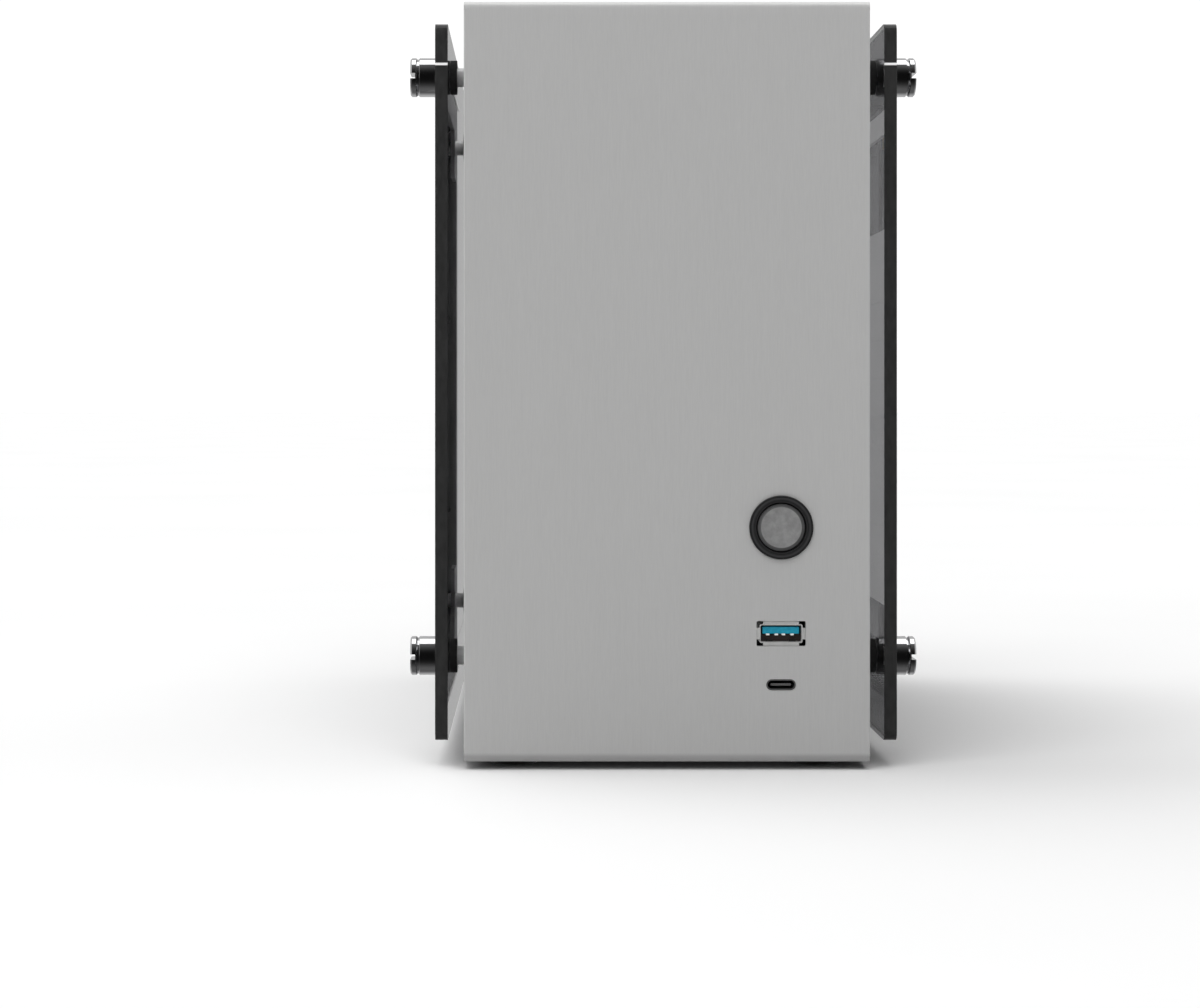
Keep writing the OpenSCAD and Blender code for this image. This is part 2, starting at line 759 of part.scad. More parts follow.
module graphics_bracket() {
    color("silver") {
        along_y(card_y1, 1.2) difference() {
            translate([card_x0, 20]) square([98, 38.4]);
            for (x = [-46, -26, -6]) translate([x - 0.3, card_z - 7.1]) square([16.6, 6.4]);
            for (k = [0:7]) translate([-40 + k * 9, 34]) round_rect(4, 18, 1.9);
        }
        span([card_x0 - 3.6, card_y1, 20], [card_x0, card_y1 + 1.2, 58.4]);
        span([card_x0 + 1, card_y1 - 5, card_z + 0.8], [card_x0 + 9, card_y1, card_z + 1.8]);
    }
}

// the card's fans hang under their motors, so their rotors point down
module card_fan_rotor(y) {
    translate([card_mid_x, y, 30.4]) mirror([0, 0, 1]) fan_rotor(15, card_fan_d / 2, 2.6, 11.2, 9);
}

module graphics_fan_rotor_front() {
    card_fan_rotor(card_fans_y[0]);
}

module graphics_fan_rotor_rear() {
    card_fan_rotor(card_fans_y[1]);
}

// ---------------------------------------------------------------- power supply

module psu_housing() {
    wall = 1.2;
    color("dimgray") difference() {
        span([psu_x0, psu_y0, psu_z], [psu_x1, psu_y1, psu_z + psu_h]);
        span([psu_x0 + wall, psu_y0 + wall, psu_z + wall],
            [psu_x1 - wall, psu_y1 - wall, psu_z + psu_h - wall]);
        translate([psu_x0 - 1, psu_mid_y, psu_mid_z]) rotate([0, 90, 0]) cylinder(d = 84, h = 5, $fn = 96);
        span([rocker_x - 5.3, psu_y0 - 1, rocker_z - 8.3], [rocker_x + 5.3, psu_y0 + 5, rocker_z + 8.3]);
        for (k = [0:6]) along_y(psu_y0 - 1, 4)
            translate([psu_x0 + 16, psu_z + 16 + k * 7]) round_rect(20, 4, 1.9);
    }
}

module psu_grille() {
    color("dimgray") translate([psu_x0, psu_mid_y, psu_mid_z]) rotate([0, -90, 0]) {
        for (r = [16:9:43]) linear_extrude(1.4) difference() {
            circle(r = r + 0.8);
            circle(r = r - 0.8);
        }
        linear_extrude(1.4) difference() {
            for (a = [0, 90]) rotate(a) square([94, 2.4], center = true);
            circle(r = 15.6);
        }
    }
}

module at_psu_fan() {
    translate([psu_x0 + 1.2 + fan_t, psu_mid_y, psu_mid_z]) rotate([0, -90, 0]) children();
}

module psu_fan_frame() {
    at_psu_fan() fan_frame(92, 36);
}

module psu_fan_rotor() {
    at_psu_fan() fan_rotor(18, 42, 3.6, fan_t - 1.2);
}

// the sheet that holds the power supply to the right side frame
module psu_bracket() {
    color("silver") along_x(psu_x1, frame_in_x - psu_x1) difference() {
        translate([-145, psu_z]) square([psu_y1 + 145, 166]);
        translate([psu_y0 - 2, psu_z + psu_h + 1]) square([psu_d - 8, 32]);
        for (z = [psu_z - 1, psu_z + 96]) translate([-146, z]) square([12, 26]);
        translate([-150, psu_z + psu_h - 16]) square([16, 20]);
    }
}

module psu_switch_rocker() {
    color("black") translate([rocker_x, psu_y0 + 3, rocker_z]) {
        difference() {
            rotate([0, 90, 0]) translate([0, 0, -4.6]) cylinder(d = 15, h = 9.2);
            span([-6, 0.6, -9], [6, 9, 9]);
            for (a = [-12, 12]) rotate([a, 0, 0]) span([-6, -12, a > 0 ? -9 : 0], [6, -4.6, a > 0 ? 0 : 9]);
        }
    }
}

module mains_inlet() {
    color("black") translate([inlet_x, 0, inlet_z]) {
        difference() {
            union() {
                along_y(rear_out_y, 2.2) difference() {
                    round_rect(48, 22, 4);
                    for (x = [-20, 20]) translate([x, 0]) circle(d = 3.3);
                }
                along_y(rear_out_y - 20, 21) round_rect(27, 20, 1.5);
            }
            along_y(rear_out_y - 16, 30) round_rect(24, 16.5, 2);
        }
    }
    color("silver") for (p = [[-7, -2], [7, -2], [0, 2.4]])
        along_y(rear_out_y - 18, 15)
            translate([inlet_x + p[0], inlet_z + p[1]]) square([2, 4], center = true);
}

// ---------------------------------------------------------------- cables

// hand-chosen routes, each from the plug it leaves to the plug it ends in
mains_route = [[inlet_x, 133, inlet_z], [-42, 116, 209], [-50, 80, 211], [-50, -60, 211],
    [-42, -115, 205], [-14, -136, 192], [12, -138, 168]];
board_power_route = [[12, -18, 150], [9, -13, 149], [12, -10.5, 147], [20, -10.5, 146]];
cpu_power_route = [[30, -18, 164], [16, -10, 182], [4, 0, 200], [7, 14, 209.5], [22, 25, 209.5]];
card_power_route = [[8, -18, 108], [-10, -16, 92], [-24, -24, 70], [-42, -44, 56], [-40, -37, 48]];
usb_route = [[control_x, -130.8, 27], [32, -122, 26], [24, -70, 24], [4, -40, 30],
    [-10, -33, 50], [2, -22, 74], [24, -13, 92], [31, -13, 95]];
button_route = [[control_x, -133.4, button_z - 3], [control_x, -133.4, 66], [34, -132.6, 50],
    [28, -124, 34], [20, -70, 31], [0, -38, 37], [-14, -31, 54], [0, -20, 64], [26, -14, 67],
    [32, -14, 68]];

module power_cables() {
    color("black") {
        sweep(curve(mains_route, 5), 3.4);
        sweep(curve(board_power_route, 3), 4.6);
        sweep(curve(cpu_power_route, 3), 3.2);
        sweep(curve(card_power_route, 3), 3.2);
        span([inlet_x - 10, 129, inlet_z - 7], [inlet_x + 10, rear_out_y - 20, inlet_z + 7]);
        span([2, psu_y0 - 13, 140], [26, psu_y0, 168]);
        span([4, psu_y1, 124], [20, -17, 172]);
        span([22, psu_y1, 152], [38, -17, 171]);
        span([0, psu_y1, 98], [16, -17, 118]);
        span([19, board_y0 + 2.5, 121], [board_x - 12, board_y0 + 11.5, 171]);
        span([21, 17, board_z1 - 10.5], [board_x - 12, 33, board_z1 - 2.5]);
        span([-49, card_y0 - 13, card_z - 12], [-31, card_y0 + 3, card_z - 2]);
    }
}

module front_io_cables() {
    color("black") {
        sweep(curve(usb_route, 4), 2.6);
        sweep(curve(button_route, 3), 1.4);
        span([control_x - 6, -135.3, 23], [control_x + 6, -130.6, 31]);
        span([control_x - 5, block_y + 11.8, button_z - 4], [control_x + 5, -131, button_z + 3]);
        span([board_x - 16, board_y0 + 2.5, 85], [board_x - 9, board_y0 + 8.5, 105]);
        span([board_x - 15, board_y0 + 2.5, 61], [board_x - 8, board_y0 + 7.5, 75]);
    }
}

// ---------------------------------------------------------------- roof fan

module at_top_fan() {
    translate([0, top_fan_y, roof_z - 1.5]) mirror([0, 0, 1]) children();
}

module top_fan_frame() {
    at_top_fan() fan_frame(120, 40);
}

module top_fan_rotor() {
    at_top_fan() fan_rotor(20, 57, 3.6, fan_t - 0.8);
}

// ---------------------------------------------------------------- drawing

outer_shell();
rear_panel();
left_side_frame();
right_side_frame();
motherboard_tray();
dust_filters();
rubber_feet();
glass_standoffs();
glass_spacers();
left_glass();
right_glass();
thumbscrew(-1, -screw_y, screw_z_low);  // thumbscrew_left_front_low
thumbscrew(-1, -screw_y, screw_z_high);  // thumbscrew_left_front_high
thumbscrew(-1, screw_y, screw_z_low);  // thumbscrew_left_rear_low
thumbscrew(-1, screw_y, screw_z_high);  // thumbscrew_left_rear_high
thumbscrew(1, -screw_y, screw_z_low);  // thumbscrew_right_front_low
thumbscrew(1, -screw_y, screw_z_high);  // thumbscrew_right_front_high
thumbscrew(1, screw_y, screw_z_low);  // thumbscrew_right_rear_low
thumbscrew(1, screw_y, screw_z_high);  // thumbscrew_right_rear_high
panel_screws();
button_barrel();
button_nut();
button_contact_block();
button_spring();
power_button_cap();
usb_a_port();
usb_c_port();
usb_tongues();
front_io_board();
motherboard();
board_standoffs();
io_shield();
rear_io_ports();
cpu_package();
cpu_heatsink();
cpu_fan_frame();
cpu_fan_rotor();
memory_modules();
board_slots();
m2_drive();
board_heatsinks();
board_connectors();
graphics_board();
graphics_heatsink();
graphics_shroud();
graphics_backplate();
graphics_bracket();
graphics_fan_rotor_front();
graphics_fan_rotor_rear();
psu_housing();
psu_grille();
psu_fan_frame();
psu_fan_rotor();
psu_bracket();
psu_switch_rocker();
mains_inlet();
power_cables();
front_io_cables();
top_fan_frame();
top_fan_rotor();
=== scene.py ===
"""The looks of a small desktop computer tower: materials, fine detail, studio, floor and camera.

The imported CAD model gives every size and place. +Z is up, the front faces -Y, lengths are in metres.
"""

import json
import math
import random

import bmesh
import bpy
from mathutils import Matrix, Vector


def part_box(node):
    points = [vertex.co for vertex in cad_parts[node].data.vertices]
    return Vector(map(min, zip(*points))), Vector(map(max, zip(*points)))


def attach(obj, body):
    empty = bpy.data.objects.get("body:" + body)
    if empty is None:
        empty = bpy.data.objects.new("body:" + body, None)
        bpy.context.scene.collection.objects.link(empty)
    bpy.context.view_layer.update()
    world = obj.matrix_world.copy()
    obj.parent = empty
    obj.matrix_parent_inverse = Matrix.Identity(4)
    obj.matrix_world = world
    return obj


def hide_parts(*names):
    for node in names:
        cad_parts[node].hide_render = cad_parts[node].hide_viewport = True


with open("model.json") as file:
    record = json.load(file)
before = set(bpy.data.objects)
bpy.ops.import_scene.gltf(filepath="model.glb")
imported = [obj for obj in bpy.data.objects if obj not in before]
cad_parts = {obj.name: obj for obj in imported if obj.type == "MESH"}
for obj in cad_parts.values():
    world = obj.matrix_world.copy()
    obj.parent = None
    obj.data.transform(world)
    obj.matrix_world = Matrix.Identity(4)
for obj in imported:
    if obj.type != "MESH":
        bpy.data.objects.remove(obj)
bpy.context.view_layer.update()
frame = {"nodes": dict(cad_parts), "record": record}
nodes = frame["nodes"]
MM = 0.001

# places that several functions share, read from the CAD nodes
SHELL_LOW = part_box("outer_shell")[0]
FRONT_Y = SHELL_LOW.y
GLASS_LOW, GLASS_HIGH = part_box("right_glass")
CAP_LOW, CAP_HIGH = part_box("power_button_cap")
BUTTON = Vector(((CAP_LOW.x + CAP_HIGH.x) / 2, CAP_LOW.y, (CAP_LOW.z + CAP_HIGH.z) / 2))


# ---------------------------------------------------------------- camera

CAMERA_DISTANCE = 0.89
CAMERA_PLACE = Vector((-0.0403, FRONT_Y - CAMERA_DISTANCE, 0.1151))
LENS = 85.44
SHIFT = (0.0517, -0.085)


def make_camera():
    """A level camera in front of the case, a little left of its middle, with the photo's lens shift."""
    data = bpy.data.cameras.new("camera")
    data.sensor_width = 36.0
    data.lens = LENS
    data.shift_x, data.shift_y = SHIFT
    data.clip_start, data.clip_end = 0.05, 60.0
    camera = bpy.data.objects.new("camera", data)
    camera.location = CAMERA_PLACE
    camera.rotation_euler = (math.radians(90), 0, 0)
    bpy.context.scene.collection.objects.link(camera)
    bpy.context.scene.camera = camera


# ---------------------------------------------------------------- shader helpers


class Shader:
    """A new material with short ways to add nodes. Its principled shader is in bsdf."""

    def __init__(self, name):
        self.material = bpy.data.materials.new(name)
        self.material.use_nodes = True
        self.tree = self.material.node_tree
        self.bsdf = self.tree.nodes["Principled BSDF"]
        self.coordinates = self.tree.nodes.new("ShaderNodeTexCoord").outputs["Object"]

    def set(self, **values):
        for name, value in values.items():
            self.bsdf.inputs[name.replace("_", " ")].default_value = value

    def link(self, source, target):
        self.tree.links.new(source, target)

    def mapped(self, scale, place=(0, 0, 0), turn=(0, 0, 0)):
        node = self.tree.nodes.new("ShaderNodeMapping")
        node.inputs["Location"].default_value = place
        node.inputs["Rotation"].default_value = turn
        node.inputs["Scale"].default_value = scale
        self.link(self.coordinates, node.inputs["Vector"])
        return node.outputs["Vector"]

    def noise(self, scale, detail=2.0, rough=0.5, stretch=(1, 1, 1)):
        node = self.tree.nodes.new("ShaderNodeTexNoise")
        node.inputs["Scale"].default_value = 1.0
        node.inputs["Detail"].default_value = detail
        node.inputs["Roughness"].default_value = rough
        self.link(self.mapped([scale * s for s in stretch]), node.inputs["Vector"])
        return node.outputs["Fac"]

    def cells(self, scale, stretch=(1, 1, 1), feature="F1", output="Distance"):
        node = self.tree.nodes.new("ShaderNodeTexVoronoi")
        node.feature = feature
        node.inputs["Scale"].default_value = 1.0
        self.link(self.mapped([scale * s for s in stretch]), node.inputs["Vector"])
        return node.outputs[output]

    def radius(self, centre, axis):
        """The distance from a line through centre along axis (0, 1 or 2)."""
        scale = [1, 1, 1]
        scale[axis] = 0
        place = [-c * s for c, s in zip(centre, scale)]
        node = self.tree.nodes.new("ShaderNodeVectorMath")
        node.operation = "LENGTH"
        self.link(self.mapped(scale, place), node.inputs[0])
        return node.outputs["Value"]

    def height(self):
        """The distance above the floor."""
        split = self.tree.nodes.new("ShaderNodeSeparateXYZ")
        self.link(self.coordinates, split.inputs[0])
        return split.outputs["Z"]

    def maths(self, operation, a, b=0.5, c=0.0):
        node = self.tree.nodes.new("ShaderNodeMath")
        node.operation = operation
        for value, socket in zip((a, b, c), node.inputs):
            if isinstance(value, (int, float)):
                socket.default_value = value
            else:
                self.link(value, socket)
        return node.outputs[0]

    def ramp(self, value, low, high, start=0.3, end=0.7):
        """Turns a 0 to 1 value into a colour between low and high, or a number if they are numbers."""
        if isinstance(low, (int, float)):
            node = self.tree.nodes.new("ShaderNodeMapRange")
            for name, v in (("From Min", start), ("From Max", end), ("To Min", low), ("To Max", high)):
                node.inputs[name].default_value = v
            self.link(value, node.inputs["Value"])
            return node.outputs["Result"]
        node = self.tree.nodes.new("ShaderNodeValToRGB")
        stops = node.color_ramp.elements
        stops[0].position, stops[0].color = start, (*low, 1)
        stops[1].position, stops[1].color = end, (*high, 1)
        self.link(value, node.inputs["Fac"])
        return node.outputs["Color"]

    def mix(self, factor, a, b):
        """A mix of two colours, each a socket or an (r, g, b)."""
        node = self.tree.nodes.new("ShaderNodeMix")
        node.data_type = "RGBA"
        for value, socket in ((factor, node.inputs[0]), (a, node.inputs[6]), (b, node.inputs[7])):
            if isinstance(value, (int, float)):
                socket.default_value = value
            elif isinstance(value, (tuple, list)):
                socket.default_value = (*value, 1)
            else:
                self.link(value, socket)
        return node.outputs[2]

    def colour(self, source):
        if isinstance(source, (tuple, list)):
            self.bsdf.inputs["Base Color"].default_value = (*source, 1)
        else:
            self.link(source, self.bsdf.inputs["Base Color"])

    def rough(self, source):
        self.link(source, self.bsdf.inputs["Roughness"])

    def bump(self, height, distance, strength=1.0):
        """Adds relief of the given depth in metres. A second call adds on top of the first."""
        node = self.tree.nodes.new("ShaderNodeBump")
        node.inputs["Strength"].default_value = strength
        node.inputs["Distance"].default_value = distance
        self.link(height, node.inputs["Height"])
        normal = self.bsdf.inputs["Normal"]
        if normal.is_linked:
            self.link(normal.links[0].from_socket, node.inputs["Normal"])
        self.link(node.outputs["Normal"], normal)


# ---------------------------------------------------------------- materials


def brushed_aluminium():
    """Clear-anodised sheet with a fine brush that runs up the front and back along the roof.

    The lower bent edge is painted darker and the underside near black, both as painted shade.
    """
    s = Shader("brushed_aluminium")
    fine = s.noise(4200, 3, 0.6, (1, 0.05, 0.05))
    broad = s.noise(900, 2, 0.5, (1, 0.035, 0.035))
    grain = s.maths("MULTIPLY_ADD", fine, 0.75, s.maths("MULTIPLY", broad, 0.25))
    face = s.ramp(grain, (0.675, 0.675, 0.672), (0.71, 0.71, 0.706), 0.35, 0.65)
    bottom = SHELL_LOW.z
    # painted shade: darker on the lower bent edge
    bend_shade = s.ramp(s.height(), 0.0, 1.0, bottom + 1.8 * MM, bottom + 3.0 * MM)
    # painted shade: near black on the underside, which also darkens the gap below the case
    under = s.ramp(s.height(), 0.0, 1.0, bottom + 0.01 * MM, bottom + 0.05 * MM)
    s.colour(s.mix(under, (0.09, 0.09, 0.09), s.mix(bend_shade, (0.54, 0.54, 0.538), face)))
    s.rough(s.ramp(grain, 0.42, 0.52))
    s.set(Metallic=0.4)
    s.bump(grain, 0.000006, 0.35)
    return s.material


def silver_sheet():
    """Plain anodised sheet, finer and paler than the shell."""
    s = Shader("silver_sheet")
    grain = s.noise(1800, 3, 0.6, (1, 0.05, 1))
    s.colour(s.ramp(grain, (0.80, 0.80, 0.80), (0.88, 0.88, 0.87)))
    s.rough(s.ramp(grain, 0.42, 0.55))
    s.set(Metallic=0.1)
    s.bump(grain, 0.00002, 0.4)
    return s.material


def bright_aluminium():
    """Turned aluminium with faint tool rings round each standoff."""
    s = Shader("bright_aluminium")
    rings = s.noise(3000, 1, 0.5, (1, 0.02, 0.02))
    s.colour(s.ramp(rings, (0.90, 0.90, 0.90), (0.97, 0.97, 0.97)))
    s.rough(s.ramp(rings, 0.3, 0.42))
    s.set(Metallic=0.25)
    s.bump(rings, 0.00001, 0.5)
    return s.material


def powder_coat(name, colour, roughness=0.5):
    """Fine-textured black paint on steel."""
    s = Shader(name)
    pebble = s.noise(2200, 2, 0.5)
    cloud = s.noise(60, 3, 0.5)
    s.colour(s.ramp(cloud, [c * 0.85 for c in colour], [c * 1.2 for c in colour]))
    s.rough(s.ramp(pebble, roughness - 0.06, roughness + 0.1))
    s.bump(pebble, 0.00006, 0.6)
    return s.material


def rubber():
    """Matt black rubber with a moulded grain."""
    s = Shader("black_rubber")
    grain = s.noise(1500, 3, 0.6)
    s.colour(s.ramp(grain, (0.012, 0.012, 0.012), (0.03, 0.03, 0.03)))
    s.rough(s.ramp(grain, 0.65, 0.85))
    s.bump(grain, 0.00008, 0.7)
    return s.material


def tinted_glass():
    """Grey toughened glass. The tint is in its depth, so its edges look nearly black."""
    s = Shader("tinted_glass")
    smudge = s.noise(9, 4, 0.6)
    s.colour((0.80, 0.80, 0.81))
    s.rough(s.ramp(smudge, 0.0, 0.02, 0.45, 0.75))
    s.set(IOR=1.5, Transmission_Weight=1.0)
    volume = s.tree.nodes.new("ShaderNodeVolumeAbsorption")
    volume.inputs["Color"].default_value = (0.30, 0.30, 0.31, 1)
    volume.inputs["Density"].default_value = 160
    s.link(volume.outputs["Volume"], s.tree.nodes["Material Output"].inputs["Volume"])
    return s.material


def glass_edge():
    """The ground edge of the glass, dark with the tint behind it.

    Its top arris is painted paler, a painted highlight. The thin bright line above the upper screws'
    middle is a painted highlight, which stands for their bright shanks seen through the glass.
    """
    s = Shader("glass_edge")
    grind = s.noise(1100, 3, 0.6, (1, 0.3, 0.3))
    dark = s.ramp(grind, (0.022, 0.022, 0.022), (0.034, 0.034, 0.034))
    # painted highlight along the top arris
    arris = s.ramp(s.height(), 0.0, 1.0, GLASS_HIGH.z - 0.5 * MM, GLASS_HIGH.z - 0.3 * MM)
    # painted highlight: a thin bright line across the rim, just above the upper screws' middle
    knob_low, knob_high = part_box("thumbscrew_left_front_high")
    painted_line_height = (knob_low.z + knob_high.z) / 2 + 1.5 * MM
    above = s.ramp(s.height(), 0.0, 1.0, painted_line_height - 0.45 * MM, painted_line_height - 0.3 * MM)
    below = s.ramp(s.height(), 1.0, 0.0, painted_line_height + 0.3 * MM, painted_line_height + 0.45 * MM)
    rim = s.mix(arris, dark, (0.26, 0.26, 0.26))
    s.colour(s.mix(s.maths("MULTIPLY", above, below), rim, (0.97, 0.97, 0.97)))
    s.rough(s.ramp(grind, 0.35, 0.5))
    s.bump(grind, 0.00002, 0.5)
    return s.material


def chrome():
    """Polished plating over faint turning marks."""
    s = Shader("chrome_knob")
    marks = s.noise(2500, 2, 0.5, (1, 0.01, 0.01))
    haze = s.noise(160, 3, 0.5)
    s.colour(s.ramp(haze, (0.80, 0.80, 0.81), (0.90, 0.90, 0.91)))
    s.rough(s.ramp(haze, 0.05, 0.12))
    s.set(Metallic=1.0)
    s.bump(marks, 0.000006, 0.4)
    return s.material


def black_anodised(name="black_anodised", centre=None):
    """Satin black anodising. Round a centre, it shows fine lathe rings."""
    s = Shader(name)
    if centre is None:
        rings = s.noise(900, 2, 0.5)
    else:
        node = s.tree.nodes.new("ShaderNodeTexNoise")
        node.noise_dimensions = "1D"
        node.inputs["Scale"].default_value = 1500
        node.inputs["Detail"].default_value = 2
        s.link(s.radius(centre, 1), node.inputs["W"])
        rings = node.outputs["Fac"]
    s.colour(s.ramp(rings, (0.018, 0.018, 0.019), (0.058, 0.058, 0.06)))
    s.rough(s.ramp(rings, 0.32, 0.46))
    s.set(Metallic=0.3)
    s.bump(rings, 0.00001, 0.5)
    return s.material


def grey_cap():
    """The button's satin face: lathe rings, a soft mottle from blasting, painted shade on its outer rim."""
    s = Shader("grey_anodised")
    node = s.tree.nodes.new("ShaderNodeTexNoise")
    node.noise_dimensions = "1D"
    node.inputs["Scale"].default_value = 4200
    node.inputs["Detail"].default_value = 3
    s.link(s.radius(BUTTON, 1), node.inputs["W"])
    rings = node.outputs["Fac"]
    mottle = s.noise(420, 3, 0.6)
    face = s.ramp(mottle, (0.24, 0.24, 0.24), (0.34, 0.34, 0.34))
    # painted shade: the rim past 6.3 mm from the middle is darker
    edge = s.ramp(s.radius(BUTTON, 1), 0.0, 1.0, 6.3 * MM, 6.45 * MM)
    s.colour(s.mix(edge, face, (0.14, 0.14, 0.142)))
    s.rough(s.ramp(rings, 0.36, 0.5))
    s.set(Metallic=0.25)
    s.bump(rings, 0.000012, 0.5)
    return s.material


def plated_steel(name, base, roughness=0.3):
    """Thin stamped and plated sheet."""
    s = Shader(name)
    patch = s.noise(240, 4, 0.6)
    s.colour(s.ramp(patch, [c * 0.88 for c in base], base))
    s.rough(s.ramp(patch, roughness - 0.07, roughness + 0.1))
    s.set(Metallic=1.0)
    s.bump(patch, 0.00002, 0.4)
    return s.material


def plastic(name, colour, roughness=0.45, grain=1400):
    """Moulded plastic with a fine spark-eroded texture."""
    s = Shader(name)
    texture = s.noise(grain, 2, 0.5)
    cloud = s.noise(90, 2, 0.5)
    s.colour(s.ramp(cloud, [c * 0.85 for c in colour], [min(1.0, c * 1.15) for c in colour]))
    s.rough(s.ramp(texture, roughness - 0.06, roughness + 0.08))
    s.bump(texture, 0.00003, 0.6)
    return s.material


def upper_port(s):
    """1 on the larger port, 0 on the smaller one below it."""
    low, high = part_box("usb_tongues")
    return s.maths("GREATER_THAN", s.height(), (low.z + high.z) / 2)


def port_steel():
    """Satin plated steel. The smaller port is darker."""
    s = Shader("port_steel")
    patch = s.noise(240, 4, 0.6)
    satin = s.ramp(patch, (0.52, 0.52, 0.515), (0.62, 0.62, 0.61))
    s.colour(s.mix(upper_port(s), (0.12, 0.12, 0.12), satin))
    s.rough(s.ramp(patch, 0.33, 0.5))
    s.set(Metallic=0.3)
    s.bump(patch, 0.00002, 0.4)
    return s.material


def contact_plating_and_glint():
    """Satin contact plating, painted near white as painted glints in the port's shade."""
    s = Shader("contact_plating_and_glint")
    patch = s.noise(900, 3, 0.6)
    # painted highlight: near white, lighter than the plating itself, so the contacts' ends show as glints
    s.colour(s.ramp(patch, (0.88, 0.87, 0.84), (0.97, 0.96, 0.93)))
    s.rough(s.ramp(patch, 0.3, 0.42))
    s.set(Metallic=0.15)
    s.bump(patch, 0.00001, 0.3)
    return s.material


def port_tongue():
    """Teal plastic in the larger port, dark grey in the smaller one."""
    s = Shader("port_tongue")
    grain = s.noise(1600, 2, 0.5)
    teal = s.ramp(grain, (0.004, 0.27, 0.42), (0.008, 0.36, 0.52))
    s.colour(s.mix(upper_port(s), (0.14, 0.14, 0.14), teal))
    s.rough(s.ramp(grain, 0.3, 0.42))
    s.bump(grain, 0.00002, 0.5)
    return s.material


def circuit_board():
    """Black solder mask over copper: broad planes, fine traces and drilled vias."""
    s = Shader("circuit_board")
    planes = s.cells(55, feature="F1", output="Color")
    traces = s.cells(420, (1, 0.25, 1), "DISTANCE_TO_EDGE")
    vias = s.cells(330, output="Distance")
    line = s.maths("LESS_THAN", traces, 0.08)
    dot = s.maths("LESS_THAN", vias, 0.16)
    base = s.mix(s.ramp(planes, 0.0, 0.5, 0.2, 0.8), (0.008, 0.009, 0.010), (0.016, 0.018, 0.019))
    masked = s.mix(line, base, (0.024, 0.027, 0.028))
    s.colour(s.mix(dot, masked, (0.14, 0.12, 0.08)))
    s.rough(s.ramp(planes, 0.28, 0.4, 0.2, 0.8))
    s.bump(line, 0.00004, 0.5)
    return s.material


def bare_aluminium():
    """Unfinished aluminium with a drawn grain, for fins and cans."""
    s = Shader("bare_aluminium")
    grain = s.noise(900, 3, 0.55, (1, 1, 0.2))
    s.colour(s.ramp(grain, (0.66, 0.66, 0.66), (0.80, 0.80, 0.80)))
    s.rough(s.ramp(grain, 0.28, 0.42))
    s.set(Metallic=1.0)
    s.bump(grain, 0.00002, 0.4)
    return s.material


def dark_metal(name, colour):
    """Dark anodised metal with a straight brush."""
    s = Shader(name)
    grain = s.noise(1500, 3, 0.6, (1, 1, 0.04))
    s.colour(s.ramp(grain, [c * 0.8 for c in colour], [c * 1.25 for c in colour]))
    s.rough(s.ramp(grain, 0.3, 0.44))
    s.set(Metallic=0.9)
    s.bump(grain, 0.00002, 0.5)
    return s.material


def cable_sleeve():
    """Braided sleeving: small crossed diamonds that catch the light."""
    s = Shader("cable_sleeve")
    weave = s.cells(900, (1, 1, 0.6))
    s.colour(s.ramp(weave, (0.03, 0.03, 0.031), (0.008, 0.008, 0.008), 0.2, 0.8))
    s.rough(s.ramp(weave, 0.45, 0.7, 0.2, 0.8))
    s.set(Sheen_Weight=0.3)
    s.bump(weave, 0.00015, 0.7)
    return s.material


def brass():
    """Turned brass, a little dulled."""
    return plated_steel("brass", (0.72, 0.52, 0.24), 0.3)


MATERIALS = {
    "brushed_aluminium": brushed_aluminium(),
    "black_steel": powder_coat("black_steel", (0.11, 0.11, 0.113)),
    "black_mesh": powder_coat("black_mesh", (0.024, 0.024, 0.024), 0.4),
    "black_rubber": rubber(),
    "bright_aluminium": bright_aluminium(),
    "tinted_glass": tinted_glass(),
    "chrome_knob": chrome(),
    "black_screws": dark_metal("black_screws", (0.03, 0.03, 0.03)),
    "black_anodised": black_anodised("black_anodised", BUTTON),
    "nickel_plated": plated_steel("nickel_plated", (0.66, 0.64, 0.60), 0.22),
    "black_plastic": plastic("black_plastic", (0.018, 0.018, 0.018)),
    "spring_steel": plated_steel("spring_steel", (0.58, 0.58, 0.58), 0.25),
    "grey_anodised": grey_cap(),
    "port_steel": port_steel(),
    "port_tongue": port_tongue(),
    "circuit_board": circuit_board(),
    "brass": brass(),
    "bare_aluminium": bare_aluminium(),
    "fan_plastic": plastic("fan_plastic", (0.022, 0.022, 0.023), 0.5),
    "rotor_plastic": plastic("rotor_plastic", (0.034, 0.034, 0.036), 0.38),
    "memory_spreader": dark_metal("memory_spreader", (0.05, 0.05, 0.053)),
    "chips": plastic("chips", (0.014, 0.014, 0.015), 0.4, 900),
    "dark_heatsink": dark_metal("dark_heatsink", (0.075, 0.075, 0.08)),
    "shroud_plastic": plastic("shroud_plastic", (0.026, 0.026, 0.027), 0.48),
    "dark_plate": dark_metal("dark_plate", (0.06, 0.06, 0.064)),
    "silver_sheet": silver_sheet(),
    "cable_sleeve": cable_sleeve(),
}


def dress_cad_nodes():
    """Gives every CAD node the material of its slot in the record."""
    for part in frame["record"]["subparts"]:
        mesh = nodes[part["node"]].data
        mesh.materials.clear()
        mesh.materials.append(MATERIALS[part["material_slot"]])


def add_bevel(piece, width):
    """Rounds the sharp edges of a piece by a width in millimetres."""
    rounding = piece.modifiers.new("bevel", "BEVEL")
    rounding.width = width * MM
    rounding.segments = 2
    rounding.limit_method = "ANGLE"
    rounding.angle_limit = math.radians(40)


